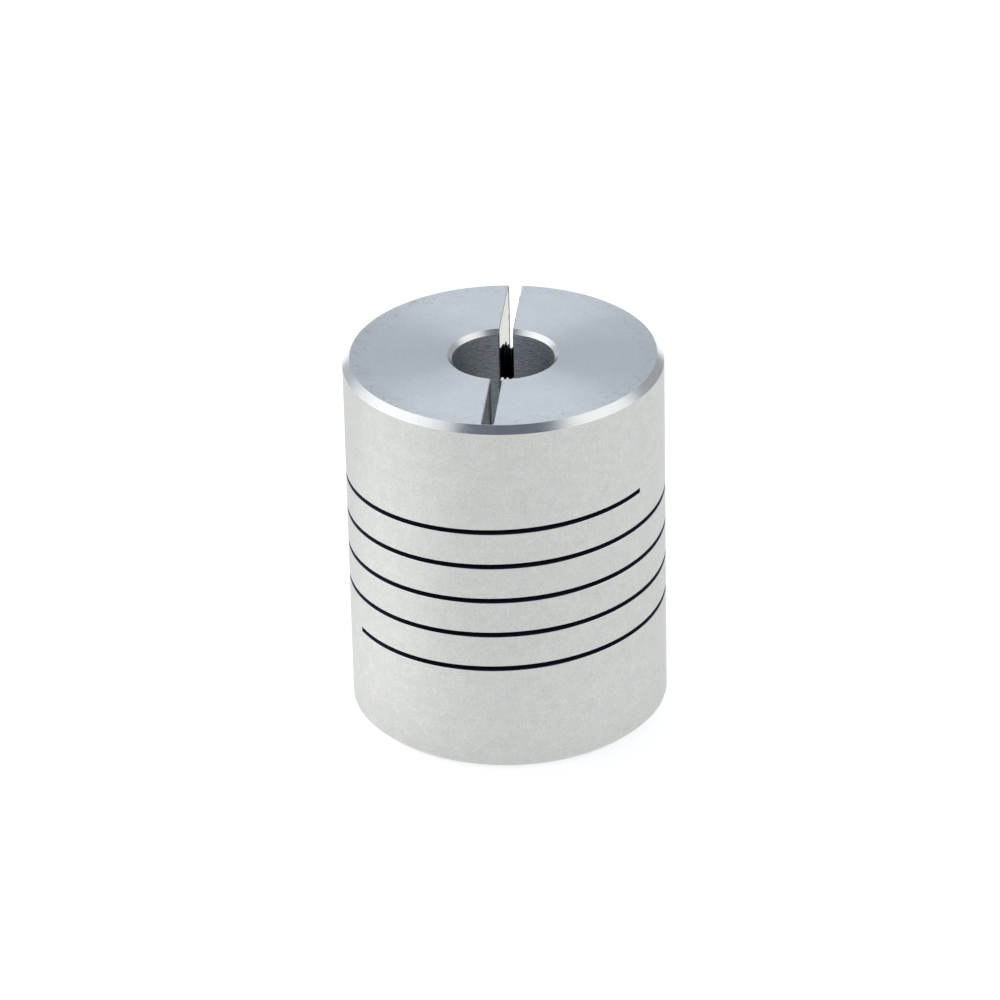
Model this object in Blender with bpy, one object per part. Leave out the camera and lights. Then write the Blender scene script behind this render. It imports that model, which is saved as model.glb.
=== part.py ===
"""Clamp-type beam coupling for two 8 mm shafts.

The real body is one piece of aluminium bar with a right-handed helical slit, a
saw slot in each end and two M3 clamp screws. The body is divided here only where
it flexes: each half turn of the helical beam is its own coil, and the threaded
side of each clamp is its own jaw. The part stands on its lower end face, with +Z
along the bore and the clamp slots opening towards +Y.
"""

import math

import bmesh
import bpy
from mathutils import Matrix, Vector

MM = 0.001

# Turned body
LENGTH = 30.0 * MM
OUTER_RADIUS = 12.5 * MM
BORE_RADIUS = 4.0 * MM
EDGE_CHAMFER = 0.55 * MM
BORE_CHAMFER = 0.35 * MM
COLUMNS_PER_TURN = 72

# Helical slit. Its angle is 0 at mid-length, at the front (-Y), and grows anticlockwise
# seen from above while the slit climbs.
SLIT_PITCH = 3.0 * MM
SLIT_WIDTH = 0.4 * MM
SLIT_RUNOUT = math.radians(61.5)
SLIT_END = 4 * math.pi + SLIT_RUNOUT
HALF_TURN = math.pi
FULL_TURN = 2 * math.pi
COIL_COUNT = 6
FIRST_COIL_START = -4 * math.pi

# Saw slots in each end: one disc leaves the arc-shaped floor of both slots
SAW_RADIUS = 25.0 * MM
SAW_SEGMENTS = 120
SLOT_DEPTH = 9.3 * MM
SLOT_FRONT_REACH = 11.9 * MM
CLAMP_SLOT_WIDTH = 1.05 * MM
RELIEF_SLOT_WIDTH = 0.9 * MM

# Jaw of each clamp: it hinges in the thin web that the relief slot leaves
JAW_HEIGHT = 7.6 * MM
JAW_HINGE_Y = -12.2 * MM

# M3 x 10 socket head clamp screw, head on the -X side
SCREW_Y = 8.25 * MM
SCREW_INSET = 5.0 * MM
SCREW_SEAT_X = -2.8 * MM
SHANK_RADIUS = 1.45 * MM
SHANK_LENGTH = 10.0 * MM
HEAD_RADIUS = 2.75 * MM
HEAD_HEIGHT = 3.0 * MM
HEAD_BREAK = 0.3 * MM
SOCKET_ACROSS_FLATS = 2.5 * MM
SOCKET_DEPTH = 1.5 * MM
SCREW_SEGMENTS = 24

# Clearance between neighbouring solids
GAP = 0.3 * MM
OVERCUT = 1.0 * MM
SMOOTH_ANGLE = math.radians(30)


def clear_scene():
    for obj in list(bpy.data.objects):
        bpy.data.objects.remove(obj, do_unlink=True)


def make_material(name, color, roughness, metallic):
    material = bpy.data.materials.new(name)
    material.use_nodes = True
    shader = material.node_tree.nodes["Principled BSDF"]
    shader.inputs["Base Color"].default_value = (*color, 1.0)
    shader.inputs["Roughness"].default_value = roughness
    shader.inputs["Metallic"].default_value = metallic
    material.diffuse_color = (*color, 1.0)
    return material


def point_at(radius, angle, height):
    """The point at an angle that is 0 at the front (-Y) and grows towards +X."""
    return Vector((radius * math.sin(angle), -radius * math.cos(angle), height))


def slit_height(angle):
    """Height of the slit's centre line."""
    return LENGTH / 2 + SLIT_PITCH * angle / FULL_TURN


def beam_section(angle, shift=0.0):
    """Corners of the beam above the slit at this angle, each moved sideways by shift."""
    corners = []
    for radius, turns_up, side in (
        (BORE_RADIUS, 0, 1),
        (OUTER_RADIUS, 0, 1),
        (OUTER_RADIUS, 1, -1),
        (BORE_RADIUS, 1, -1),
    ):
        corner_angle = angle + math.asin(shift / radius)
        edge = slit_height(corner_angle + turns_up * FULL_TURN) + side * SLIT_WIDTH / 2
        corners.append(point_at(radius, corner_angle, edge))
    return corners


def sweep_beam(mesh, start, end, start_shift, end_shift, first=None):
    """Adds the beam from start to end, from the given first ring of vertices or from a cap."""
    steps = math.ceil((end - start) / FULL_TURN * COLUMNS_PER_TURN)
    if first is None:
        first = [mesh.verts.new(corner) for corner in beam_section(start, start_shift)]
        mesh.faces.new(first)
    ring = first
    for step in range(1, steps + 1):
        angle = start + (end - start) * step / steps
        shift = end_shift if step == steps else 0.0
        next_ring = [mesh.verts.new(corner) for corner in beam_section(angle, shift)]
        for side in range(len(ring)):
            other = (side + 1) % len(ring)
            mesh.faces.new((ring[side], ring[other], next_ring[other], next_ring[side]))
        ring = next_ring
    mesh.faces.new(reversed(ring))


def lower_hub_shape():
    """The lower hub as turned, with its helical top face and the root of the beam."""
    mesh = bmesh.new()
    start = -SLIT_END
    end_ring = (
        (BORE_RADIUS + BORE_CHAMFER, 0.0),
        (OUTER_RADIUS - EDGE_CHAMFER, 0.0),
        (OUTER_RADIUS, EDGE_CHAMFER),
    )
    columns = []
    for step in range(COLUMNS_PER_TURN):
        angle = start + FULL_TURN * step / COLUMNS_PER_TURN
        top = slit_height(angle) - SLIT_WIDTH / 2
        points = [point_at(radius, angle, height) for radius, height in end_ring]
        points.append(point_at(OUTER_RADIUS, angle, top))
        points.append(point_at(BORE_RADIUS, angle, top))
        points.append(point_at(BORE_RADIUS, angle, BORE_CHAMFER))
        columns.append([mesh.verts.new(point) for point in points])
    outer_top, inner_top = 3, 4

    for column, next_column in zip(columns, columns[1:]):
        for side in range(len(column)):
            other = (side + 1) % len(column)
            mesh.faces.new((column[side], next_column[side], next_column[other], column[other]))

    # The last column climbs to the beam's root, one pitch above the first column.
    root = [mesh.verts.new(corner) for corner in beam_section(start)]
    inner_low, outer_low, outer_high, inner_high = root
    last, first = columns[-1], columns[0]
    for side in (0, 1, 5):
        other = (side + 1) % len(last)
        mesh.faces.new((last[side], first[side], first[other], last[other]))
    mesh.faces.new((last[2], first[2], first[outer_top], last[outer_top]))
    mesh.faces.new((last[outer_top], first[outer_top], outer_low))
    mesh.faces.new((last[outer_top], outer_low, outer_high))
    mesh.faces.new((last[outer_top], outer_high, inner_high, last[inner_top]))
    mesh.faces.new((last[inner_top], inner_high, inner_low))
    mesh.faces.new((last[inner_top], inner_low, first[inner_top]))
    mesh.faces.new((last[inner_top], first[inner_top], first[5], last[5]))
    mesh.faces.new((first[outer_top], first[inner_top], inner_low, outer_low))
    sweep_beam(mesh, start, FIRST_COIL_START, 0.0, -GAP / 2, root)
    return mesh


def finish_mesh(mesh, name, origin):
    """Turns faces outwards and moves the mesh so that the object's origin is at origin."""
    bmesh.ops.triangulate(mesh, faces=mesh.faces[:])
    bmesh.ops.recalc_face_normals(mesh, faces=mesh.faces[:])
    bmesh.ops.translate(mesh, verts=mesh.verts[:], vec=-Vector(origin))
    data = bpy.data.meshes.new(name)
    mesh.to_mesh(data)
    mesh.free()
    data.shade_smooth()
    data.set_sharp_from_angle(angle=SMOOTH_ANGLE)
    return data


def add_object(name, mesh, origin, material, parent=None):
    obj = bpy.data.objects.new(name, finish_mesh(mesh, name, origin))
    obj.data.materials.append(material)
    bpy.context.collection.objects.link(obj)
    obj.location = origin
    if parent:
        bpy.context.view_layer.update()
        obj.parent = parent
        obj.matrix_parent_inverse = parent.matrix_world.inverted()
    return obj


def add_cutter(name, mesh):
    bmesh.ops.recalc_face_normals(mesh, faces=mesh.faces[:])
    data = bpy.data.meshes.new(name)
    mesh.to_mesh(data)
    mesh.free()
    cutter = bpy.data.objects.new(name, data)
    bpy.context.collection.objects.link(cutter)
    cutter.hide_render = True
    cutter.display_type = "WIRE"
    return cutter


def add_boolean(obj, cutter, operation="DIFFERENCE"):
    modifier = obj.modifiers.new(cutter.name, "BOOLEAN")
    modifier.object = cutter
    modifier.operation = operation


def rod_along_x(radius, x_from, x_to, y, z, segments):
    """A round bar along X."""
    mesh = bmesh.new()
    bmesh.ops.create_cone(
        mesh,
        cap_ends=True,
        segments=segments,
        radius1=radius,
        radius2=radius,
        depth=x_to - x_from,
        matrix=Matrix.Translation(((x_from + x_to) / 2, y, z)) @ Matrix.Rotation(math.pi / 2, 4, "Y"),
    )
    return mesh


def block(low, high):
    mesh = bmesh.new()
    size = Vector(high) - Vector(low)
    middle = (Vector(high) + Vector(low)) / 2
    bmesh.ops.create_cube(mesh, size=1.0, matrix=Matrix.Translation(middle) @ Matrix.Diagonal((*size, 1.0)))
    return mesh


def saw_disc(width, end_z, inward, rear_only):
    """The space a slitting saw sweeps: a disc across X, sunk SLOT_DEPTH into the end face."""
    above_face = SAW_RADIUS - SLOT_DEPTH
    half_chord = math.sqrt(SAW_RADIUS**2 - above_face**2)
    centre_y = half_chord - SLOT_FRONT_REACH
    centre_z = end_z - inward * above_face
    mesh = rod_along_x(SAW_RADIUS, -width / 2, width / 2, centre_y, centre_z, SAW_SEGMENTS)
    if rear_only:
        geometry = mesh.verts[:] + mesh.edges[:] + mesh.faces[:]
        bmesh.ops.bisect_plane(mesh, geom=geometry, plane_co=(0, 0, 0), plane_no=(0, 1, 0), clear_inner=True)
        bmesh.ops.holes_fill(mesh, edges=mesh.edges[:])
    return mesh


def add_clamp_cuts(prefix, end_z, inward, targets):
    """Cuts the saw slots, the screw hole and the head's counterbore into the targets."""
    screw_z = end_z + inward * SCREW_INSET
    hole_radius = SHANK_RADIUS + GAP
    counterbore_radius = HEAD_RADIUS + GAP
    reach = OUTER_RADIUS + OVERCUT
    cutters = (
        add_cutter(prefix + "_relief_saw", saw_disc(RELIEF_SLOT_WIDTH, end_z, inward, False)),
        add_cutter(prefix + "_clamp_saw", saw_disc(CLAMP_SLOT_WIDTH, end_z, inward, True)),
        add_cutter(
            prefix + "_screw_drill",
            rod_along_x(hole_radius, -reach, reach, SCREW_Y, screw_z, SCREW_SEGMENTS),
        ),
        add_cutter(
            prefix + "_counterbore",
            rod_along_x(counterbore_radius, -reach, SCREW_SEAT_X, SCREW_Y, screw_z, SCREW_SEGMENTS),
        ),
    )
    for target in targets:
        for cutter in cutters:
            add_boolean(target, cutter)


def make_hub(prefix, upper, material, parent, origin):
    """A hub, with its jaw cut free of it. The upper hub is the lower one turned over."""
    end_z = LENGTH if upper else 0.0
    inward = -1 if upper else 1
    turn_over = Matrix.Translation((0, 0, LENGTH)) @ Matrix.Rotation(math.pi, 4, "Y")
    bodies = []
    for suffix, body_origin in (("_hub", origin), ("_jaw", (0, JAW_HINGE_Y, end_z))):
        shape = lower_hub_shape()
        if upper:
            bmesh.ops.transform(shape, matrix=turn_over, verts=shape.verts[:])
        holder = bodies[0] if bodies else parent
        bodies.append(add_object(prefix + suffix, shape, body_origin, material, holder))
    hub, jaw = bodies

    far = 2 * OUTER_RADIUS
    outside = end_z - inward * OVERCUT
    for owner, name, edge, operation in (
        (hub, "_hub_room", -GAP / 2, "DIFFERENCE"),
        (jaw, "_jaw_block", GAP / 2, "INTERSECT"),
    ):
        inside = end_z + inward * (JAW_HEIGHT - edge)
        low = (edge, -far, min(outside, inside))
        high = (far, far, max(outside, inside))
        add_boolean(owner, add_cutter(prefix + name, block(low, high)), operation)
    add_clamp_cuts(prefix, end_z, inward, bodies)
    return hub


def make_coil(index, material, parent):
    """One half turn of the beam. Its origin is on the bore's axis, level with its lower end."""
    start = FIRST_COIL_START + index * HALF_TURN
    mesh = bmesh.new()
    sweep_beam(mesh, start, start + HALF_TURN, GAP / 2, -GAP / 2)
    origin = (0, 0, slit_height(start + HALF_TURN))
    return add_object("coil_%d" % (index + 1), mesh, origin, material, parent)


def turned_along_z(profile, segments):
    """A solid of revolution about Z whose profile of (radius, height) starts and ends on the axis."""
    mesh = bmesh.new()
    rings = []
    for radius, height in profile[1:-1]:
        ring = []
        for step in range(segments):
            angle = FULL_TURN * step / segments
            ring.append(mesh.verts.new((radius * math.cos(angle), radius * math.sin(angle), height)))
        rings.append(ring)
    for ring, next_ring in zip(rings, rings[1:]):
        for step in range(segments):
            other = (step + 1) % segments
            mesh.faces.new((ring[step], ring[other], next_ring[other], next_ring[step]))
    for ring, (_, height) in ((rings[0], profile[0]), (rings[-1], profile[-1])):
        tip = mesh.verts.new((0, 0, height))
        for step in range(segments):
            mesh.faces.new((tip, ring[step], ring[(step + 1) % segments]))
    return mesh


def make_clamp_screw(name, screw_z, material, parent):
    """A socket head screw, made along +Z with its head on top and laid along X."""
    head_top = GAP + HEAD_HEIGHT
    tip = GAP - SHANK_LENGTH
    profile = (
        (0, tip),
        (SHANK_RADIUS - HEAD_BREAK, tip),
        (SHANK_RADIUS, tip + HEAD_BREAK),
        (SHANK_RADIUS, GAP),
        (HEAD_RADIUS, GAP),
        (HEAD_RADIUS, head_top - HEAD_BREAK),
        (HEAD_RADIUS - HEAD_BREAK, head_top),
        (0, head_top),
    )
    origin = Vector((SCREW_SEAT_X, SCREW_Y, screw_z))
    head_to_left = Matrix.Rotation(-math.pi / 2, 4, "Y")
    mesh = turned_along_z(profile, SCREW_SEGMENTS)
    bmesh.ops.transform(mesh, matrix=Matrix.Translation(origin) @ head_to_left, verts=mesh.verts[:])
    screw = add_object(name, mesh, origin, material, parent)

    socket_radius = SOCKET_ACROSS_FLATS / math.sqrt(3)
    socket_end = SCREW_SEAT_X - head_top
    socket = rod_along_x(
        socket_radius, socket_end - OVERCUT, socket_end + SOCKET_DEPTH, SCREW_Y, screw_z, 6
    )
    add_boolean(screw, add_cutter(name + "_socket", socket))


def build():
    clear_scene()
    aluminium = make_material("turned_aluminium", (0.76, 0.76, 0.74), 0.35, 1.0)
    black_steel = make_material("black_oxide_steel", (0.02, 0.02, 0.025), 0.45, 1.0)

    lower_hub = make_hub("lower", False, aluminium, None, (0, 0, 0))
    link = lower_hub
    for index in range(COIL_COUNT):
        link = make_coil(index, aluminium, link)
    top_joint = (0, 0, slit_height(FIRST_COIL_START + (COIL_COUNT + 1) * HALF_TURN))
    upper_hub = make_hub("upper", True, aluminium, link, top_joint)
    make_clamp_screw("lower_clamp_screw", SCREW_INSET, black_steel, lower_hub)
    make_clamp_screw("upper_clamp_screw", LENGTH - SCREW_INSET, black_steel, upper_hub)


build()
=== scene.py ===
"""The looks of the beam coupling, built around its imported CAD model.

Lengths are millimetres until a mesh is made. Angles about the bore are 0 at the front (-Y)
and grow towards +X.
"""

import math

import bmesh
import bpy
from mathutils import Matrix, Vector


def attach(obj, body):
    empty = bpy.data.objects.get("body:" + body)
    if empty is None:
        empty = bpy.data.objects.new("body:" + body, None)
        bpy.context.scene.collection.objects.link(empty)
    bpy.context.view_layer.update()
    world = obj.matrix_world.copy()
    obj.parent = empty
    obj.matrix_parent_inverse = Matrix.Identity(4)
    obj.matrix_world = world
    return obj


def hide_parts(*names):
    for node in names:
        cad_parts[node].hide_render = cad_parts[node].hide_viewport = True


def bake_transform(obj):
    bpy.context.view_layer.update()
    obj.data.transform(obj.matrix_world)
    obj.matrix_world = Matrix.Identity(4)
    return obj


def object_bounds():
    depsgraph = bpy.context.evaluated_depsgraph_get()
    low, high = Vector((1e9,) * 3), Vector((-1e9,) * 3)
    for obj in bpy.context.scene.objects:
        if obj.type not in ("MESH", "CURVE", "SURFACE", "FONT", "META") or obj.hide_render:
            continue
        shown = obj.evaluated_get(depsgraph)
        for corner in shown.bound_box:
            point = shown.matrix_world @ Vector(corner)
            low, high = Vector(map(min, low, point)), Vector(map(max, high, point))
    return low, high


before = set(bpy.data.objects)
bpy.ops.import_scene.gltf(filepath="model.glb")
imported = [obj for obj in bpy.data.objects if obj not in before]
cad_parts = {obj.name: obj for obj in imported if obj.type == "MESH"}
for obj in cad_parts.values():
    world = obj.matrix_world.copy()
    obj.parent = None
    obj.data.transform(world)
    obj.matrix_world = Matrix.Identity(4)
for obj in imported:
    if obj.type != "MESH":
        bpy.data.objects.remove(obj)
cad_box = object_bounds()

MM_PER_METRE = 1000
FULL_TURN = 2 * math.pi
QUARTER_TURN = FULL_TURN / 4

# Body, from the frame and the coupling's own drawing
LENGTH = (cad_box[1].z - cad_box[0].z) * MM_PER_METRE
OUTER_RADIUS = (cad_box[1].x - cad_box[0].x) * MM_PER_METRE / 2
BORE_RADIUS = 4.0
EDGE_CHAMFER = 0.55
BORE_CHAMFER = 0.35
COLUMNS_PER_TURN = 360

# Helical slit. The flange radii are where its walls have extra rows of vertices
SLIT_PITCH = 3.0
SLIT_WIDTH = 0.4
SLIT_BREAK = 0.02
SLIT_END = 2 * FULL_TURN + math.radians(61.5)
SLIT_FROM_END = LENGTH / 2 - SLIT_PITCH * SLIT_END / FULL_TURN - SLIT_WIDTH
FLANGE_RADII = (9.7, 6.9)
TONGUE_INSET = 0.006
TONGUE_ANGLE = math.radians(1.5)

# Saw slots. A slitting saw cuts both through the end face, with its centre outside the coupling
SAW_RADIUS = 25.0
SAW_SEGMENTS = 240
SLOT_DEPTH = 9.3
SLOT_FRONT_REACH = 11.9
SAW_CENTRE_OUT = SAW_RADIUS - SLOT_DEPTH
SAW_CENTRE_Y = math.sqrt(SAW_RADIUS**2 - SAW_CENTRE_OUT**2) - SLOT_FRONT_REACH
CLAMP_SLOT_WIDTH = 1.05
RELIEF_SLOT_WIDTH = 0.9
SLOT_BREAK = 0.06
CLAMP_BREAK_DEPTH = SLOT_DEPTH * 0.93
RELIEF_BREAK_DEPTH = 6.3
SLOT_X = -0.14
SLOT_FACE_REACH = 0.62
HUB_ROWS = (2.0, 3.5, 5.0, 6.0, 6.8, 7.5)

# Clamp screws and their holes
SCREW_Y = 8.25
SCREW_INSET = 5.0
SCREW_SEAT_X = -2.8
THREAD_PITCH = 0.5
THREAD_CREST = 1.47
THREAD_ROOT = 1.17
THREAD_STEPS = 40
THREAD_CLEARANCE = 0.05
TAP_X = (-0.6, 15.0)
TAPPED_EXIT_X = 7.6
TAPPED_EXIT_RADIUS = 1.6
CLEARANCE_HOLE_RADIUS = 1.7
COUNTERBORE_RADIUS = 3.05
HOLE_SEGMENTS = 64
COUNTERBORE_SEGMENTS = 96

# Where one pitch of thread leaves its root, meets its crest, leaves it, and meets its root again
THREAD_SHARES = (0.14, 0.46, 0.60, 0.92)

# Shank and neck
SHANK_END_X = 6.9
SHANK_POINT_LENGTH = 0.35
SHANK_POINT_STEP = 0.05
NECK_IN_HEAD = 0.5
NECK_LENGTH = 0.6

# Head and socket. The knurl's and the plain band's places are shares of the head's height
HEAD_RADIUS = 2.75
HEAD_HEIGHT = 3.0
HEAD_GAP = 0.02
HEAD_BREAK = 0.3
HEAD_UNDER_BREAK = 0.1
HEAD_SEGMENTS = 96
KNURL_DEPTH = 0.06
KNURL_SHARES = (0.2, 0.75)
PLAIN_BAND_SHARE = 0.8
PLAIN_BAND_STEP = 0.03
SOCKET_ACROSS_FLATS = 2.5
SOCKET_DEPTH = 1.5
SOCKET_BREAK = 0.12
SOCKET_POINT_DEPTH = 0.5
SOCKET_POINT_RADIUS = 0.1
SOCKET_SEGMENTS = 48

# Bodies from one end to the other
COIL_COUNT = 6
CHAIN = ["lower_hub"] + ["coil_%d" % (index + 1) for index in range(COIL_COUNT)] + ["upper_hub"]

# Cutters run past the metal by this much, and faces closer than these lie on the end or on a skin
OVERCUT = 1.0
ON_END = 0.001
ON_SKIN = 0.01
SMOOTH_ANGLE = math.radians(25)

# Camera, in metres and lens millimetres
CAMERA_AZIMUTH = math.radians(5.83)
CAMERA_ELEVATION = math.radians(28.35)
CAMERA_ROLL = math.radians(-1.26)
CAMERA_AIM = Vector((-0.00058, 0.00083, 0.01664))
CAMERA_DISTANCE = 0.46297
CAMERA_LENS = 211.68
CAMERA_SENSOR = 36.0

# Floor paper, in metres, with a brighter patch beside the coupling
FLOOR_REACH = 3.0
PAPER_COLOUR = (0.74, 0.74, 0.74, 1.0)
GLOW_CENTRE = (-0.044, -0.010, 0.0)
GLOW_DISTANCES = (0.012, 0.042)
GLOW_LEVELS = (0.93, 0.66)

# Overhead softbox, in metres and watts
SOFTBOX_DIRECTION = Vector((-0.05, 0.52, 0.85))
SOFTBOX_AIM = Vector((0, 0, 0.015))
SOFTBOX_DISTANCE = 1.2
SOFTBOX_SIZE = (0.8, 0.7)
SOFTBOX_POWER = 1.6

# Light tent: its own colour, then patches with a direction, the cosines at edge and core, and a colour
TENT_COLOUR = (0.47, 0.50, 0.535, 1.0)
TENT_PATCHES = (
    ((0.02, -0.98, 0.2), 0.55, 0.95, (0.30, 0.31, 0.33)),
    ((-0.96, 0.27, 0.05), 0.93, 0.995, (1.5, 1.5, 1.48)),
    ((0.60, 0.78, 0.20), 0.86, 0.98, (0.36, 0.37, 0.39)),
    ((-0.78, 0.02, 0.62), 0.68, 1.10, (1.32, 1.33, 1.32)),
    ((0.715, 0.05, 0.695), 0.87, 0.99, (1.04, 1.05, 1.04)),
    ((0.06, -0.45, 0.89), 0.875, 0.955, (0.14, 0.155, 0.185)),
)


# ---------------------------------------------------------------- node helpers


def add_node(tree, kind, inputs=None, **settings):
    node = tree.nodes.new(kind)
    for name, value in settings.items():
        setattr(node, name, value)
    for key, value in (inputs or {}).items():
        if isinstance(value, bpy.types.NodeSocket):
            tree.links.new(value, node.inputs[key])
        else:
            node.inputs[key].default_value = value
    return node


def calc(tree, operation, first, second=0.0, third=0.0):
    values = {0: first, 1: second, 2: third}
    return add_node(tree, "ShaderNodeMath", values, operation=operation).outputs[0]


def vary(tree, base, pattern, amount):
    """Moves a value up and down with a pattern that has its middle at 0.5."""
    return calc(tree, "MULTIPLY_ADD", calc(tree, "SUBTRACT", pattern, 0.5), amount, base)


def distance(tree, first, second):
    """Length of the vector that two coordinates make."""
    square = calc(tree, "MULTIPLY", second, second)
    return calc(tree, "SQRT", calc(tree, "MULTIPLY_ADD", first, first, square))


def from_middle(surface):
    """Height above or below mid-length, the same for both ends of the coupling."""
    return calc(surface.tree, "ABSOLUTE", calc(surface.tree, "SUBTRACT", surface.z, LENGTH / 2))


def combine(tree, x, y, z):
    return add_node(tree, "ShaderNodeCombineXYZ", {0: x, 1: y, 2: z}).outputs[0]


def stretch(tree, first, first_scale, second=0.0, second_scale=1.0, seed=0.0):
    """A place for a stretched pattern: two coordinates that each have a scale, and a seed."""
    x = calc(tree, "MULTIPLY", first, first_scale)
    y = calc(tree, "MULTIPLY", second, second_scale)
    return combine(tree, x, y, seed)


def noise(tree, vector, scale=1.0, detail=3.0, roughness=0.55):
    values = {"Vector": vector, "Scale": scale, "Detail": detail, "Roughness": roughness}
    return add_node(tree, "ShaderNodeTexNoise", values).outputs["Fac"]


def remap(tree, value, low, high, to_low=0.0, to_high=1.0):
    """A smooth step, from one value at the low end to another at the high end."""
    values = {"Value": value, "From Min": low, "From Max": high, "To Min": to_low, "To Max": to_high}
    return add_node(tree, "ShaderNodeMapRange", values, interpolation_type="SMOOTHSTEP").outputs[0]


def mix_colour(tree, factor, first, second, blend_type="MIX"):
    node = add_node(tree, "ShaderNodeMix", data_type="RGBA", blend_type=blend_type)
    for socket, value in ((node.inputs[0], factor), (node.inputs[6], first), (node.inputs[7], second)):
        if isinstance(value, bpy.types.NodeSocket):
            tree.links.new(value, socket)
        else:
            socket.default_value = value
    return node.outputs[2]


class Surface:
    """A metal material and the coordinates that its patterns use, in millimetres."""

    def __init__(self, name, colour, roughness, anisotropy=0.0, metallic=1.0, edge_tint=None):
        self.material = bpy.data.materials.new(name)
        self.material.use_nodes = True
        self.tree = self.material.node_tree
        self.shader = self.tree.nodes["Principled BSDF"]
        self.colour = (*colour, 1.0)
        self.rough = roughness
        self.shader.inputs["Metallic"].default_value = metallic
        self.shader.inputs["Roughness"].default_value = roughness
        self.shader.inputs["Base Color"].default_value = self.colour
        self.shader.inputs["Anisotropic"].default_value = anisotropy
        if edge_tint:
            self.shader.inputs["Specular Tint"].default_value = (*edge_tint, 1.0)
        self.material.diffuse_color = self.colour
        tree = self.tree
        own = add_node(tree, "ShaderNodeTexCoord").outputs["Object"]
        values = {0: own, "Scale": MM_PER_METRE}
        self.point = add_node(tree, "ShaderNodeVectorMath", values, operation="SCALE").outputs[0]
        self.x, self.y, self.z = add_node(tree, "ShaderNodeSeparateXYZ", {0: self.point}).outputs
        self.radius = distance(tree, self.x, self.y)
        self.angle = calc(tree, "ARCTAN2", self.x, calc(tree, "MULTIPLY", self.y, -1.0))

    def outward(self):
        """The direction away from the bore: tool rings spread light across themselves."""
        return combine(self.tree, self.x, self.y, 0.0)

    def upward(self):
        return combine(self.tree, 0.0, 0.0, 1.0)

    def along_x(self):
        return combine(self.tree, 1.0, 0.0, 0.0)

    def tinted(self, amount):
        """The base colour times a grey factor."""
        grey = combine(self.tree, amount, amount, amount)
        return mix_colour(self.tree, 1.0, self.colour, grey, "MULTIPLY")

    def connect(self, colour, roughness, height, bump, tangent=None):
        """Wires the shader: bump is the height pattern's depth in millimetres."""
        tree, shader = self.tree, self.shader
        values = {"Height": height, "Strength": 1.0, "Distance": bump / MM_PER_METRE}
        normal = add_node(tree, "ShaderNodeBump", values).outputs[0]
        wires = {"Base Color": colour, "Roughness": roughness, "Normal": normal, "Tangent": tangent}
        for name, socket in wires.items():
            if socket is not None:
                tree.links.new(socket, shader.inputs[name])
        return self.material


def scratches(surface, along, across, tilt, length, spacing, seed):
    """Thin curved marks: 0 on bare metal and 1 on a mark."""
    tree = surface.tree
    cosine, sine = math.cos(tilt), math.sin(tilt)
    run = calc(tree, "MULTIPLY_ADD", along, cosine, calc(tree, "MULTIPLY", across, sine))
    side = calc(tree, "MULTIPLY_ADD", across, cosine, calc(tree, "MULTIPLY", along, -sine))
    wander = noise(tree, stretch(tree, run, 0.35, side, 0.35, seed), detail=1.0)
    bent = vary(tree, side, wander, 1.0)
    place = combine(tree, calc(tree, "DIVIDE", run, length), calc(tree, "DIVIDE", bent, spacing), seed)
    return remap(tree, noise(tree, place, detail=0.0), 0.70, 0.80)


# ---------------------------------------------------------------- materials


def make_side_material():
    """Satin outside: turned, then tumbled, with a fine coloured mottle and small curved marks."""
    surface = Surface("satin_turned_side", (0.60, 0.60, 0.575), 0.40, 0.65, edge_tint=(0.9, 0.9, 0.9))
    tree = surface.tree
    along = calc(tree, "MULTIPLY", surface.angle, OUTER_RADIUS)
    mottle = noise(tree, surface.point, 0.85, 5.0, 0.66)
    grain = noise(tree, surface.point, 6.5, 3.0, 0.7)
    glints = remap(tree, noise(tree, surface.point, 5.2, 1.0), 0.70, 0.80)
    warmth = remap(tree, noise(tree, surface.point, 1.5, 4.0, 0.7), 0.36, 0.64)
    bloom = remap(tree, noise(tree, surface.point, 2.3, 3.0, 0.7), 0.40, 0.66)
    turned = noise(tree, stretch(tree, along, 0.06, surface.z, 7.0), detail=2.0)
    marks = 0.0
    layers = ((0.35, 1.3, 0.12, 1.3), (-0.6, 1.0, 0.11, 5.0), (1.25, 1.2, 0.12, 8.7))
    for tilt, length, spacing, seed in layers:
        layer = scratches(surface, along, surface.z, tilt, length, spacing, seed)
        marks = calc(tree, "MAXIMUM", layer, marks)
    shade = vary(tree, 1.0, mottle, 0.32)
    shade = vary(tree, shade, grain, 0.50)
    # Painted light: the side's colour gets up to 6% lighter towards the bottom of the coupling.
    shade = calc(tree, "MULTIPLY", shade, remap(tree, surface.z, 3.0, 14.0, 1.06, 1.0))
    shade = vary(tree, shade, turned, 0.07)
    shade = calc(tree, "MULTIPLY_ADD", marks, 0.035, shade)
    shade = calc(tree, "MULTIPLY_ADD", glints, 0.13, shade)
    tint = mix_colour(tree, warmth, (1.015, 1.0, 0.975, 1.0), (0.985, 0.985, 1.025, 1.0))
    tint = mix_colour(tree, bloom, tint, (0.975, 1.01, 1.0, 1.0))
    colour = mix_colour(tree, 1.0, surface.tinted(shade), tint, "MULTIPLY")
    rough = vary(tree, surface.rough, mottle, 0.14)
    rough = calc(tree, "MULTIPLY_ADD", marks, -0.05, rough)
    height = calc(tree, "MULTIPLY_ADD", turned, 0.4, grain)
    height = calc(tree, "MULTIPLY_ADD", marks, -0.5, height)
    return surface.connect(colour, rough, height, 0.006, surface.upward())


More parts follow.
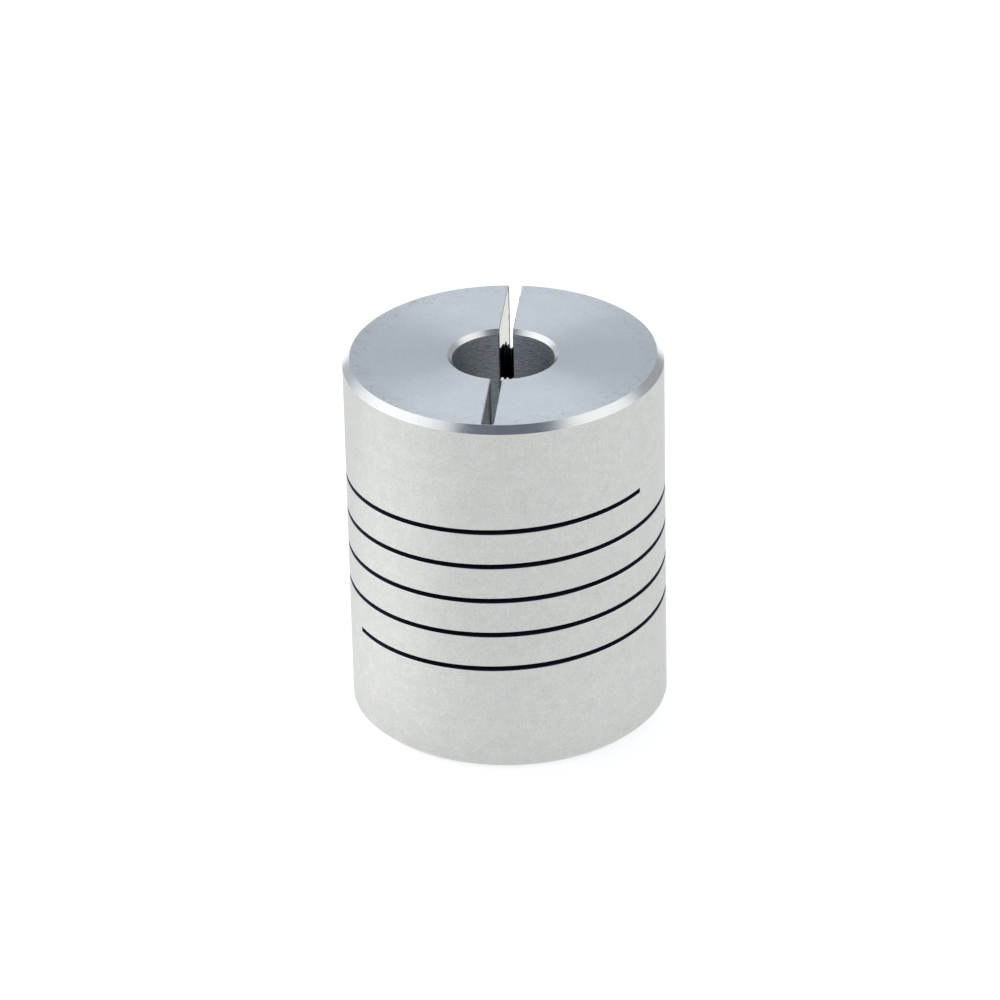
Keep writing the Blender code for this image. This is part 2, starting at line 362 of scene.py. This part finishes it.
def make_end_material():
    """Faced ends: fine concentric tool rings that fan the light, pits, and scuffs near the rim."""
    surface = Surface("faced_end", (0.80, 0.84, 0.87), 0.32, 0.78)
    tree = surface.tree
    rings = noise(tree, stretch(tree, surface.radius, 9.0), 1.0, 4.0, 0.7)
    wide = noise(tree, stretch(tree, surface.radius, 1.1, 4.0), detail=1.0)
    cloud = noise(tree, surface.point, 0.55, 4.0)
    grain = noise(tree, surface.point, 5.0, 3.0, 0.8)
    near_rim = remap(tree, surface.radius, 9.8, 11.4)
    scuffs = remap(tree, noise(tree, surface.point, 1.7, 5.0, 0.8), 0.53, 0.63)
    scuffs = calc(tree, "MULTIPLY", scuffs, near_rim)
    pits = remap(tree, noise(tree, surface.point, 2.1, 3.0, 0.7), 0.73, 0.78)
    shade = vary(tree, 1.0, rings, 0.08)
    shade = vary(tree, shade, wide, 0.05)
    shade = vary(tree, shade, cloud, 0.07)
    shade = vary(tree, shade, grain, 0.42)
    shade = calc(tree, "MULTIPLY_ADD", pits, -0.3, shade)
    scuffed = calc(tree, "MULTIPLY", scuffs, 0.5)
    colour = mix_colour(tree, scuffed, surface.tinted(shade), (0.50, 0.47, 0.46, 1.0))
    rough = vary(tree, surface.rough, cloud, 0.12)
    height = calc(tree, "MULTIPLY_ADD", pits, -1.5, rings)
    return surface.connect(colour, rough, height, 0.0012, surface.outward())


def make_chamfer_material():
    """Chamfers, cut bright. The bore's are rougher, and the chamfer at the standing edge is painted
    darker as painted shade.
    """
    surface = Surface("bright_chamfer", (0.84, 0.85, 0.86), 0.20, 0.4)
    tree = surface.tree
    rings = noise(tree, stretch(tree, surface.z, 16.0), detail=3.0)
    cloud = noise(tree, surface.point, 1.4, 3.0)
    # Painted shade: the chamfer at the standing edge is painted darker towards the bottom.
    shade = remap(tree, surface.z, 0.6, 1.5, 0.60, 1.0)
    shade = vary(tree, shade, rings, 0.12)
    shade = vary(tree, shade, cloud, 0.12)
    rough = remap(tree, surface.radius, 4.5, 6.0, surface.rough + 0.07, surface.rough)
    rough = vary(tree, rough, cloud, 0.10)
    return surface.connect(surface.tinted(shade), rough, rings, 0.001, surface.outward())


def make_bore_material():
    """Bored hole: rough tool marks run round it, with darker torn streaks."""
    surface = Surface("bored_hole", (0.64, 0.655, 0.67), 0.36, 0.45)
    tree = surface.tree
    along = calc(tree, "MULTIPLY", surface.angle, BORE_RADIUS)
    streaks = noise(tree, stretch(tree, along, 0.7, surface.z, 6.5), 1.0, 5.0, 0.75)
    fine = noise(tree, stretch(tree, along, 2.4, surface.z, 10.5, 2.0), 1.0, 3.0, 0.7)
    cloud = noise(tree, surface.point, 0.5, 2.0)
    torn = remap(tree, streaks, 0.50, 0.66)
    # Painted light: the bore's colour is painted lighter deeper in, towards mid-length.
    shade = remap(tree, from_middle(surface), 8.0, 13.5, 1.5, 1.22)
    shade = calc(tree, "MULTIPLY_ADD", torn, -0.5, shade)
    shade = vary(tree, shade, fine, 2.4)
    warmth = remap(tree, cloud, 0.4, 0.6)
    tint = mix_colour(tree, warmth, (1.0, 0.96, 0.93, 1.0), (0.92, 0.97, 1.03, 1.0))
    colour = mix_colour(tree, 1.0, surface.tinted(shade), tint, "MULTIPLY")
    rough = calc(tree, "MULTIPLY_ADD", torn, 0.15, surface.rough)
    height = calc(tree, "MULTIPLY_ADD", streaks, 1.5, fine)
    return surface.connect(colour, rough, height, 0.02, surface.upward())


def make_sawn_material(name, colour, edge_tint):
    """Slot walls: smooth along the saw's arcs, with rough burrs at the outside painted dark as painted
    shade, and a rim painted darker as painted shade.
    """
    surface = Surface(name, colour, 0.045, edge_tint=edge_tint)
    tree = surface.tree
    middle = from_middle(surface)
    side = calc(tree, "SUBTRACT", surface.y, SAW_CENTRE_Y)
    above = calc(tree, "SUBTRACT", middle, LENGTH / 2 + SAW_CENTRE_OUT)
    reach = distance(tree, side, above)
    arcs = noise(tree, stretch(tree, reach, 5.0, surface.x), 1.0, 4.0, 0.65)
    cloud = noise(tree, surface.point, 1.6, 4.0)
    specks = remap(tree, noise(tree, surface.point, 3.3, 2.0), 0.68, 0.76)
    # Painted shade: a ragged band along the outer edge is painted almost black, and made rough for the
    # burrs.
    burr_and_painted_shade = remap(tree, calc(tree, "MULTIPLY_ADD", cloud, 1.2, surface.radius), 12.2, 12.6)
    # Painted shade: the walls are painted darker at the edge break by the end face.
    rim = remap(tree, middle, LENGTH / 2 - 0.12, LENGTH / 2 - 0.03, 1.0, 0.5)
    shade = vary(tree, 1.0, arcs, 0.35)
    shade = vary(tree, shade, cloud, 0.2)
    shade = calc(tree, "MULTIPLY_ADD", specks, -0.4, shade)
    shade = calc(tree, "MULTIPLY_ADD", burr_and_painted_shade, -0.95, shade)
    shade = calc(tree, "MULTIPLY", shade, rim)
    rough = calc(tree, "MULTIPLY_ADD", arcs, 0.04, surface.rough)
    rough = calc(tree, "MULTIPLY_ADD", burr_and_painted_shade, 0.7, rough)
    return surface.connect(surface.tinted(shade), rough, arcs, 0.0006)


def make_drilled_material():
    """Screw holes and counterbores: cutter marks rougher than the slot walls."""
    surface = Surface("drilled_hole", (0.80, 0.79, 0.75), 0.32, 0.4)
    tree = surface.tree
    rings = noise(tree, stretch(tree, surface.x, 11.0, surface.y, 0.5), 1.0, 4.0, 0.7)
    cloud = noise(tree, surface.point, 1.3, 4.0)
    shade = vary(tree, 1.0, rings, 0.4)
    shade = vary(tree, shade, cloud, 0.3)
    rough = calc(tree, "MULTIPLY_ADD", cloud, 0.15, surface.rough - 0.07)
    return surface.connect(surface.tinted(shade), rough, rings, 0.004, surface.along_x())


def make_slit_material():
    """Walls of the helical slit, dull, and painted a dark bluish grey as painted shade between the turns.
    """
    surface = Surface("slit_wall", (0.20, 0.20, 0.30), 0.5)
    tree = surface.tree
    arcs = noise(tree, stretch(tree, surface.radius, 3.0, surface.angle, 1.5), detail=4.0)
    shade = vary(tree, 1.0, arcs, 0.5)
    rough = calc(tree, "MULTIPLY_ADD", arcs, 0.2, surface.rough - 0.1)
    return surface.connect(surface.tinted(shade), rough, arcs, 0.008)


def make_screw_material():
    """Black oxide on steel, a little worn round the rim of the head."""
    surface = Surface("black_oxide", (0.007, 0.0105, 0.021), 0.42, metallic=0.85)
    tree = surface.tree
    cloud = noise(tree, surface.point, 2.2, 4.0, 0.65)
    grain = noise(tree, surface.point, 9.0, 3.0)
    across = calc(tree, "SUBTRACT", surface.y, SCREW_Y)
    above = calc(tree, "SUBTRACT", from_middle(surface), LENGTH / 2 - SCREW_INSET)
    from_rim = calc(tree, "SUBTRACT", distance(tree, across, above), HEAD_RADIUS - HEAD_BREAK)
    rim = remap(tree, calc(tree, "ABSOLUTE", from_rim), 0.02, 0.14, 1.0, 0.0)
    worn = calc(tree, "MULTIPLY", rim, remap(tree, cloud, 0.42, 0.62, 0.1, 0.8))
    shade = vary(tree, 1.0, grain, 1.0)
    colour = mix_colour(tree, worn, surface.tinted(shade), (0.11, 0.11, 0.115, 1.0))
    rough = vary(tree, surface.rough, cloud, 0.3)
    return surface.connect(colour, rough, grain, 0.006)


SIDE, END, CHAMFER, BORE, SAWN, RELIEF, DRILLED, SLIT = range(8)
BODY_MATERIALS = (
    make_side_material(),
    make_end_material(),
    make_chamfer_material(),
    make_bore_material(),
    # Painted light and shade: both slots are sawn alike, but the clamp slot's walls are painted darker
    # with a darker specular tint, and the relief slot's walls lighter.
    make_sawn_material("sawn_clamp_slot", (0.72, 0.71, 0.66), (0.68, 0.69, 0.64)),
    make_sawn_material("sawn_relief_slot", (0.96, 0.95, 0.93), (1.0, 1.0, 0.98)),
    make_drilled_material(),
    make_slit_material(),
)
SCREW_MATERIAL = make_screw_material()


# ---------------------------------------------------------------- mesh helpers


def point_at(radius, angle, height):
    return Vector((radius * math.sin(angle), -radius * math.cos(angle), height))


def slit_height(angle):
    """Height of the slit's centre line. Its angle is 0 at the front at mid-length."""
    return LENGTH / 2 + SLIT_PITCH * angle / FULL_TURN


def ledge(mesh, angle, height, outward, inset=0.0):
    """Vertices of a slit wall at one angle, from its broken outer edge in to the bore.

    An inset moves them into the metal, away from every skin of the beam.
    """
    height += outward * inset
    verts = [mesh.verts.new(point_at(OUTER_RADIUS - inset, angle, height + outward * SLIT_BREAK))]
    for radius in (OUTER_RADIUS - SLIT_BREAK - inset, *FLANGE_RADII, BORE_RADIUS + inset):
        verts.append(mesh.verts.new(point_at(radius, angle, height)))
    return verts


def bridge(mesh, first, second, closed=False):
    """Quads between two rows of vertices."""
    count = len(first)
    for index in range(count if closed else count - 1):
        other = (index + 1) % count
        mesh.faces.new((first[index], first[other], second[other], second[index]))


def choose_finish(centre, normal):
    """The material index of a face, from its place on the body and the way it looks."""
    radius = math.hypot(centre.x, centre.y)
    from_end = min(centre.z, LENGTH - centre.z)
    slope = abs(normal.z)
    upright, slanted, level = slope < 0.2, 0.5 < slope < 0.9, slope > 0.95
    behind = centre.y > 0
    if from_end < ON_END:
        return END
    if radius > OUTER_RADIUS - ON_SKIN and upright:
        return SIDE
    if radius < BORE_RADIUS + ON_SKIN and upright:
        return BORE
    if slanted and (radius > OUTER_RADIUS - EDGE_CHAMFER or from_end < BORE_CHAMFER):
        return CHAMFER
    if level and from_end > SLIT_FROM_END and radius > BORE_RADIUS:
        return SLIT
    if behind and abs(centre.x - SLOT_X) > SLOT_FACE_REACH:
        return DRILLED
    if behind and slope < 0.95:
        return SAWN
    return RELIEF


def to_object(name, mesh, materials):
    """Turns a millimetre bmesh into an object in metres, with a finish for each face of the body."""
    bmesh.ops.recalc_face_normals(mesh, faces=mesh.faces[:])
    if len(materials) > 1:
        for face in mesh.faces:
            face.material_index = choose_finish(face.calc_center_median(), face.normal)
    bmesh.ops.scale(mesh, verts=mesh.verts[:], vec=(1 / MM_PER_METRE,) * 3)
    data = bpy.data.meshes.new(name)
    mesh.to_mesh(data)
    mesh.free()
    for material in materials:
        data.materials.append(material)
    data.shade_smooth()
    data.set_sharp_from_angle(angle=SMOOTH_ANGLE)
    obj = bpy.data.objects.new(name, data)
    bpy.context.scene.collection.objects.link(obj)
    return obj


def carve(mesh, steps):
    """Runs exact Booleans on a bmesh: steps are (operation, tool bmesh). Frees the tools."""
    def as_object(name, source):
        bmesh.ops.recalc_face_normals(source, faces=source.faces[:])
        data = bpy.data.meshes.new(name)
        source.to_mesh(data)
        source.free()
        obj = bpy.data.objects.new(name, data)
        bpy.context.scene.collection.objects.link(obj)
        return obj

    target = as_object("carve_target", mesh)
    tools = []
    for operation, tool in steps:
        tools.append(as_object("carve_tool", tool))
        modifier = target.modifiers.new("carve", "BOOLEAN")
        modifier.object = tools[-1]
        modifier.operation = operation
        modifier.solver = "EXACT"
    result = bmesh.new()
    result.from_object(target, bpy.context.evaluated_depsgraph_get())
    for obj in (target, *tools):
        data = obj.data
        bpy.data.objects.remove(obj)
        bpy.data.meshes.remove(data)
    return result


def block(low, high):
    mesh = bmesh.new()
    size, middle = Vector(high) - Vector(low), (Vector(high) + Vector(low)) / 2
    place = Matrix.Translation(middle) @ Matrix.Diagonal((*size, 1.0))
    bmesh.ops.create_cube(mesh, size=1.0, matrix=place)
    return mesh


def rod_along_x(radius, x_from, x_to, y, z, segments):
    mesh = bmesh.new()
    place = Matrix.Translation(((x_from + x_to) / 2, y, z)) @ Matrix.Rotation(QUARTER_TURN, 4, "Y")
    bmesh.ops.create_cone(mesh, cap_ends=True, segments=segments, radius1=radius, radius2=radius,
                          depth=x_to - x_from, matrix=place)
    return mesh


def flare(half_width, low, high, place, size=SLOT_BREAK):
    """A wedge that breaks both edges of a slot, between two distances along it.

    place turns the offset across the slot, the height above its edge and the distance into a point.
    """
    wide = half_width + OVERCUT + size
    outline = ((-half_width, -size), (half_width, -size), (wide, OVERCUT), (-wide, OVERCUT))
    mesh = bmesh.new()
    rows = []
    for distance_along in (low, high):
        rows.append([mesh.verts.new(place(u, v, distance_along)) for u, v in outline])
    bridge(mesh, rows[0], rows[1], closed=True)
    for row in rows:
        mesh.faces.new(row)
    return mesh


# ---------------------------------------------------------------- helical beam


def sweep_beam(start, end):
    """The beam above the slit between two slit angles, with a tongue that reaches into the next piece."""
    mesh = bmesh.new()
    steps = math.ceil((end - start) / FULL_TURN * COLUMNS_PER_TURN)
    places = [(start + (end - start) * step / steps, 0.0) for step in range(steps + 1)]
    places += [(end, TONGUE_INSET), (end + TONGUE_ANGLE, TONGUE_INSET)]
    rings = []
    for angle, inset in places:
        low = ledge(mesh, angle, slit_height(angle) + SLIT_WIDTH / 2, 1, inset)
        high = ledge(mesh, angle, slit_height(angle + FULL_TURN) - SLIT_WIDTH / 2, -1, inset)
        rings.append((low, high))
    for (low, high), (next_low, next_high) in zip(rings, rings[1:]):
        bridge(mesh, [*low[::-1], *high], [*next_low[::-1], *next_high], closed=True)
    for low, high in (rings[0], rings[-1]):
        bridge(mesh, low, high)
    return mesh


def build_beam():
    """Seven lengths of beam, parted at the coils' middles."""
    coil_middles = [QUARTER_TURN * (2 * index - 3 - COIL_COUNT) for index in range(1, COIL_COUNT + 1)]
    marks = [-SLIT_END, *coil_middles, SLIT_END - FULL_TURN]
    for index, (start, end) in enumerate(zip(marks, marks[1:])):
        piece = to_object("beam_length_%d" % (index + 1), sweep_beam(start, end), BODY_MATERIALS)
        lower, upper = CHAIN[index], CHAIN[index + 1]
        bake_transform(piece)
        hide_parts(upper if index < COIL_COUNT else lower)


# ---------------------------------------------------------------- hubs and jaws


def hub_shape():
    """The lower hub as turned, up to its helical top face and the wall where the beam starts."""
    mesh = bmesh.new()
    start = -SLIT_END
    chamfered = ((BORE_RADIUS + BORE_CHAMFER, 0.0), (OUTER_RADIUS - EDGE_CHAMFER, 0.0))
    wall = [*chamfered, (OUTER_RADIUS, EDGE_CHAMFER), *((OUTER_RADIUS, height) for height in HUB_ROWS)]
    columns = []
    for step in range(COLUMNS_PER_TURN):
        angle = start + FULL_TURN * step / COLUMNS_PER_TURN
        outer = [mesh.verts.new(point_at(radius, angle, height)) for radius, height in wall]
        top = ledge(mesh, angle, slit_height(angle) - SLIT_WIDTH / 2, -1)
        inner = [mesh.verts.new(point_at(BORE_RADIUS, angle, height)) for height in HUB_ROWS[::-1]]
        inner.append(mesh.verts.new(point_at(BORE_RADIUS, angle, BORE_CHAMFER)))
        columns.append((outer, top, inner))
    for (outer, top, inner), (next_outer, next_top, next_inner) in zip(columns, columns[1:]):
        bridge(mesh, [*outer, *top, *inner], [*next_outer, *next_top, *next_inner], closed=True)

    root_low = ledge(mesh, start, slit_height(start) + SLIT_WIDTH / 2, 1)
    root_high = ledge(mesh, start, slit_height(start + FULL_TURN) - SLIT_WIDTH / 2, -1)
    (last_outer, last_top, last_inner), (outer, top, inner) = columns[-1], columns[0]
    bridge(mesh, last_outer, outer)
    bridge(mesh, last_inner, inner)
    mesh.faces.new((last_inner[-1], last_outer[0], outer[0], inner[-1]))
    bridge(mesh, last_top, root_high)
    bridge(mesh, root_high, root_low)
    bridge(mesh, root_low, top)
    for below, below_last, side in ((outer[-1], last_outer[-1], 0), (inner[0], last_inner[0], -1)):
        corner = last_top[side]
        mesh.faces.new((below_last, below, top[side], corner))
        mesh.faces.new((corner, top[side], root_low[side]))
        mesh.faces.new((corner, root_low[side], root_high[side]))
    return mesh


def saw_disc(width, rear_only):
    """The space a slitting saw sweeps in the lower end."""
    x_from, x_to = SLOT_X - width / 2, SLOT_X + width / 2
    mesh = rod_along_x(SAW_RADIUS, x_from, x_to, SAW_CENTRE_Y, -SAW_CENTRE_OUT, SAW_SEGMENTS)
    if rear_only:
        geometry = mesh.verts[:] + mesh.edges[:] + mesh.faces[:]
        bmesh.ops.bisect_plane(mesh, geom=geometry, plane_co=(0, 0, 0), plane_no=(0, 1, 0),
                               clear_inner=True)
        bmesh.ops.holes_fill(mesh, edges=mesh.edges[:])
    return mesh


def thread_rod(crest, root, x_from, x_to, screw_z):
    """A right-hand threaded rod along +X."""
    mesh = bmesh.new()
    profile = ((0.0, root), *zip(THREAD_SHARES, (root, crest, crest, root)))
    turns = math.ceil((x_to - x_from) / THREAD_PITCH)
    row_count = turns * len(profile) + 1
    full_rows = row_count - len(profile)

    def vertex(row, column):
        share, radius = profile[row % len(profile)]
        angle = FULL_TURN * column / THREAD_STEPS
        travel = row // len(profile) + share + column / THREAD_STEPS
        across, up = radius * math.cos(angle), radius * math.sin(angle)
        return mesh.verts.new((x_from + THREAD_PITCH * travel, SCREW_Y + across, screw_z + up))

    grid = [[vertex(row, column) for column in range(THREAD_STEPS)] for row in range(row_count)]
    for row in range(full_rows):
        grid[row].append(grid[row + len(profile)][0])
    for row in range(full_rows - 1):
        bridge(mesh, grid[row], grid[row + 1])
    for first in (0, full_rows - 1):
        seam = [grid[row][0] for row in range(first + len(profile) - 1, first, -1)]
        loop = [*grid[first], *seam]
        tip_x = sum(vert.co.x for vert in loop) / len(loop)
        tip = mesh.verts.new((tip_x, SCREW_Y, screw_z))
        for vert, following in zip(loop, [*loop[1:], loop[0]]):
            mesh.faces.new((tip, vert, following))
    loose = [vert for vert in mesh.verts if not vert.link_faces]
    bmesh.ops.delete(mesh, geom=loose, context="VERTS")
    return mesh


def clamp_cuts(upper):
    """Boolean steps for the slots and the screw hole of one hub."""
    end_z = LENGTH if upper else 0.0
    inward = -1 if upper else 1
    screw_z = end_z + inward * SCREW_INSET
    reach = OUTER_RADIUS + OVERCUT
    slots = [saw_disc(RELIEF_SLOT_WIDTH, False), saw_disc(CLAMP_SLOT_WIDTH, True)]
    if upper:
        mirror = Matrix.Translation((0, 0, LENGTH)) @ Matrix.Scale(-1, 4, (0, 0, 1))
        for slot in slots:
            bmesh.ops.transform(slot, matrix=mirror, verts=slot.verts[:])

    def on_end_face(u, v, y):
        return SLOT_X + u, y, end_z - inward * v

    def on_outside(u, v, z):
        return SLOT_X + u, OUTER_RADIUS + v, z

    def on_bore_rear(u, v, z):
        return SLOT_X + u, BORE_RADIUS - v, z

    def on_bore_front(u, v, z):
        return SLOT_X + u, v - BORE_RADIUS, z

    clamp, relief = CLAMP_SLOT_WIDTH / 2, RELIEF_SLOT_WIDTH / 2
    outside_z = end_z - inward * OVERCUT
    clamp_span = sorted((outside_z, end_z + inward * CLAMP_BREAK_DEPTH))
    relief_span = sorted((outside_z, end_z + inward * RELIEF_BREAK_DEPTH))
    edges = [
        flare(clamp, BORE_RADIUS / 2, reach, on_end_face),
        flare(relief, -SLOT_FRONT_REACH + 0.1, -BORE_RADIUS / 2, on_end_face),
        flare(clamp, *clamp_span, on_outside),
        flare(clamp, *clamp_span, on_bore_rear, SLOT_BREAK / 3),
        flare(relief, *relief_span, on_bore_front),
    ]
    holes = [
        thread_rod(THREAD_CREST + THREAD_CLEARANCE, THREAD_ROOT + THREAD_CLEARANCE, *TAP_X, screw_z),
        rod_along_x(TAPPED_EXIT_RADIUS, TAPPED_EXIT_X, reach, SCREW_Y, screw_z, HOLE_SEGMENTS),
        rod_along_x(CLEARANCE_HOLE_RADIUS, -reach, 0.0, SCREW_Y, screw_z, HOLE_SEGMENTS),
        rod_along_x(COUNTERBORE_RADIUS, -reach, SCREW_SEAT_X, SCREW_Y, screw_z, COUNTERBORE_SEGMENTS),
    ]
    return [("DIFFERENCE", tool) for tool in slots + edges + holes]


def build_hub(prefix, upper):
    """One end of the coupling: the head side rides on its hub, and the threaded side stands in for its
    jaw.
    """
    far = 2 * OUTER_RADIUS
    turn_over = Matrix.Translation((0, 0, LENGTH)) @ Matrix.Rotation(FULL_TURN / 2, 4, "Y")
    pieces = []
    for suffix, low_x, high_x in (("_head_side", -far, 0.0), ("_threaded_side", 0.0, far)):
        shape = hub_shape()
        if upper:
            bmesh.ops.transform(shape, matrix=turn_over, verts=shape.verts[:])
        half = ("INTERSECT", block((low_x, -far, -far), (high_x, far, 2 * far)))
        mesh = carve(shape, [half, *clamp_cuts(upper)])
        pieces.append(to_object(prefix + suffix, mesh, BODY_MATERIALS))
    head_side, threaded_side = pieces
    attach(head_side, prefix + "_hub")
    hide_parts(prefix + "_hub")
    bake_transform(threaded_side)
    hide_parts(prefix + "_jaw")


# ---------------------------------------------------------------- clamp screws


def turned_along_x(profile, segments, screw_z, knurled=()):
    """A solid of revolution about the screw's axis. Rows listed in knurled have a fine ribbed edge."""
    mesh = bmesh.new()
    rings = []
    for index, (x, radius) in enumerate(profile):
        ring = []
        for step in range(segments):
            angle = FULL_TURN * step / segments
            ribbed = radius - KNURL_DEPTH if index in knurled and step % 2 else radius
            across, up = ribbed * math.cos(angle), ribbed * math.sin(angle)
            ring.append(mesh.verts.new((x, SCREW_Y + across, screw_z + up)))
        rings.append(ring)
    for ring, next_ring in zip(rings, rings[1:]):
        bridge(mesh, ring, next_ring, closed=True)
    mesh.faces.new(rings[0])
    mesh.faces.new(rings[-1])
    return mesh


def build_screw(prefix, upper):
    """An M3 x 10 socket head cap screw with its thread, knurled head and hex socket."""
    screw_z = LENGTH - SCREW_INSET if upper else SCREW_INSET
    seat = SCREW_SEAT_X - HEAD_GAP
    top = seat - HEAD_HEIGHT
    shank = thread_rod(THREAD_CREST, THREAD_ROOT, seat - OVERCUT, SHANK_END_X + OVERCUT, screw_z)
    blank = (
        (seat - NECK_IN_HEAD, THREAD_CREST),
        (SHANK_END_X - SHANK_POINT_LENGTH, THREAD_CREST),
        (SHANK_END_X, THREAD_ROOT - SHANK_POINT_STEP),
    )
    neck = ((seat - NECK_IN_HEAD, THREAD_CREST), (seat + NECK_LENGTH, THREAD_CREST))
    head = (
        (seat, HEAD_RADIUS - HEAD_UNDER_BREAK),
        (seat - HEAD_UNDER_BREAK, HEAD_RADIUS),
        *((seat - HEAD_HEIGHT * share, HEAD_RADIUS) for share in KNURL_SHARES),
        (seat - HEAD_HEIGHT * PLAIN_BAND_SHARE, HEAD_RADIUS - PLAIN_BAND_STEP),
        (top + HEAD_BREAK, HEAD_RADIUS - PLAIN_BAND_STEP),
        (top, HEAD_RADIUS - HEAD_BREAK),
    )
    knurled_rows = (1, 2, 3)
    socket_end = top + SOCKET_DEPTH
    hexagon_radius = SOCKET_ACROSS_FLATS / math.sqrt(3)
    round_radius = SOCKET_ACROSS_FLATS / 2
    round_socket = (
        (top - OVERCUT, round_radius + SOCKET_BREAK),
        (top, round_radius + SOCKET_BREAK),
        (top + SOCKET_BREAK, round_radius),
        (socket_end, round_radius),
        (socket_end + SOCKET_POINT_DEPTH, SOCKET_POINT_RADIUS),
    )
    steps = [
        ("INTERSECT", turned_along_x(blank, HEAD_SEGMENTS, screw_z)),
        ("UNION", turned_along_x(neck, HEAD_SEGMENTS, screw_z)),
        ("UNION", turned_along_x(head, HEAD_SEGMENTS, screw_z, knurled_rows)),
        ("DIFFERENCE", rod_along_x(hexagon_radius, top - OVERCUT, socket_end, SCREW_Y, screw_z, 6)),
        ("DIFFERENCE", turned_along_x(round_socket, SOCKET_SEGMENTS, screw_z)),
    ]
    screw = to_object(prefix + "_m3_screw", carve(shank, steps), [SCREW_MATERIAL])
    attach(screw, prefix + "_clamp_screw")
    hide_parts(prefix + "_clamp_screw")


# ---------------------------------------------------------------- studio


def make_paper_material():
    """Slightly glowing white paper, brightest beside the coupling."""
    paper = bpy.data.materials.new("studio_paper")
    paper.use_nodes = True
    tree = paper.node_tree
    shader = tree.nodes["Principled BSDF"]
    shader.inputs["Base Color"].default_value = PAPER_COLOUR
    shader.inputs["Roughness"].default_value = 0.9
    shader.inputs["Specular IOR Level"].default_value = 0.1
    shader.inputs["Emission Strength"].default_value = 1.0
    place = add_node(tree, "ShaderNodeTexCoord").outputs["Object"]
    span = add_node(tree, "ShaderNodeVectorMath", {0: place, 1: GLOW_CENTRE}, operation="DISTANCE")
    glow = remap(tree, span.outputs["Value"], *GLOW_DISTANCES, *GLOW_LEVELS)
    tree.links.new(combine(tree, glow, glow, glow), shader.inputs["Emission Color"])
    return paper


def build_floor():
    mesh = bmesh.new()
    bmesh.ops.create_grid(mesh, x_segments=1, y_segments=1, size=FLOOR_REACH)
    data = bpy.data.meshes.new("studio_floor")
    mesh.to_mesh(data)
    mesh.free()
    data.materials.append(make_paper_material())
    floor = bpy.data.objects.new("studio_floor", data)
    bpy.context.scene.collection.objects.link(floor)


def look_back(obj, aim, back, distance_away, roll=0.0):
    """Places an object away from its aim, turns its -Z axis to it and rolls it about that axis."""
    obj.location = aim + back * distance_away
    obj.rotation_mode = "QUATERNION"
    turn = Matrix.Rotation(roll, 3, "Z").to_quaternion()
    obj.rotation_quaternion = (-back).to_track_quat("-Z", "Y") @ turn


def build_softbox():
    light = bpy.data.lights.new("overhead_softbox", "AREA")
    light.shape = "RECTANGLE"
    light.size, light.size_y = SOFTBOX_SIZE
    light.energy = SOFTBOX_POWER
    obj = bpy.data.objects.new("overhead_softbox", light)
    bpy.context.scene.collection.objects.link(obj)
    look_back(obj, SOFTBOX_AIM, SOFTBOX_DIRECTION.normalized(), SOFTBOX_DISTANCE)


def build_tent():
    """Light tent around the coupling, with soft bright and dark patches for the metal to reflect."""
    world = bpy.data.worlds.new("studio")
    bpy.context.scene.world = world
    world.use_nodes = True
    tree = world.node_tree
    direction = add_node(tree, "ShaderNodeTexCoord").outputs["Generated"]
    colour = TENT_COLOUR
    for centre, edge, core, patch_colour in TENT_PATCHES:
        values = {0: direction, 1: Vector(centre).normalized()}
        cosine = add_node(tree, "ShaderNodeVectorMath", values, operation="DOT_PRODUCT").outputs["Value"]
        colour = mix_colour(tree, remap(tree, cosine, edge, core), colour, (*patch_colour, 1.0))
    background = tree.nodes["Background"]
    tree.links.new(colour, background.inputs["Color"])
    background.inputs["Strength"].default_value = 1.0
    bpy.context.scene.view_settings.view_transform = "Standard"


def build_camera():
    camera = bpy.data.objects.new("camera", bpy.data.cameras.new("camera"))
    bpy.context.scene.collection.objects.link(camera)
    camera.data.lens = CAMERA_LENS
    camera.data.sensor_width = CAMERA_SENSOR
    level = math.cos(CAMERA_ELEVATION)
    right, front = math.sin(CAMERA_AZIMUTH) * level, math.cos(CAMERA_AZIMUTH) * level
    back = Vector((right, -front, math.sin(CAMERA_ELEVATION)))
    look_back(camera, CAMERA_AIM, back, CAMERA_DISTANCE, CAMERA_ROLL)
    bpy.context.scene.camera = camera


build_camera()
build_floor()
build_softbox()
build_tent()
build_beam()
build_hub("lower", False)
build_hub("upper", True)
build_screw("lower", False)
build_screw("upper", True)
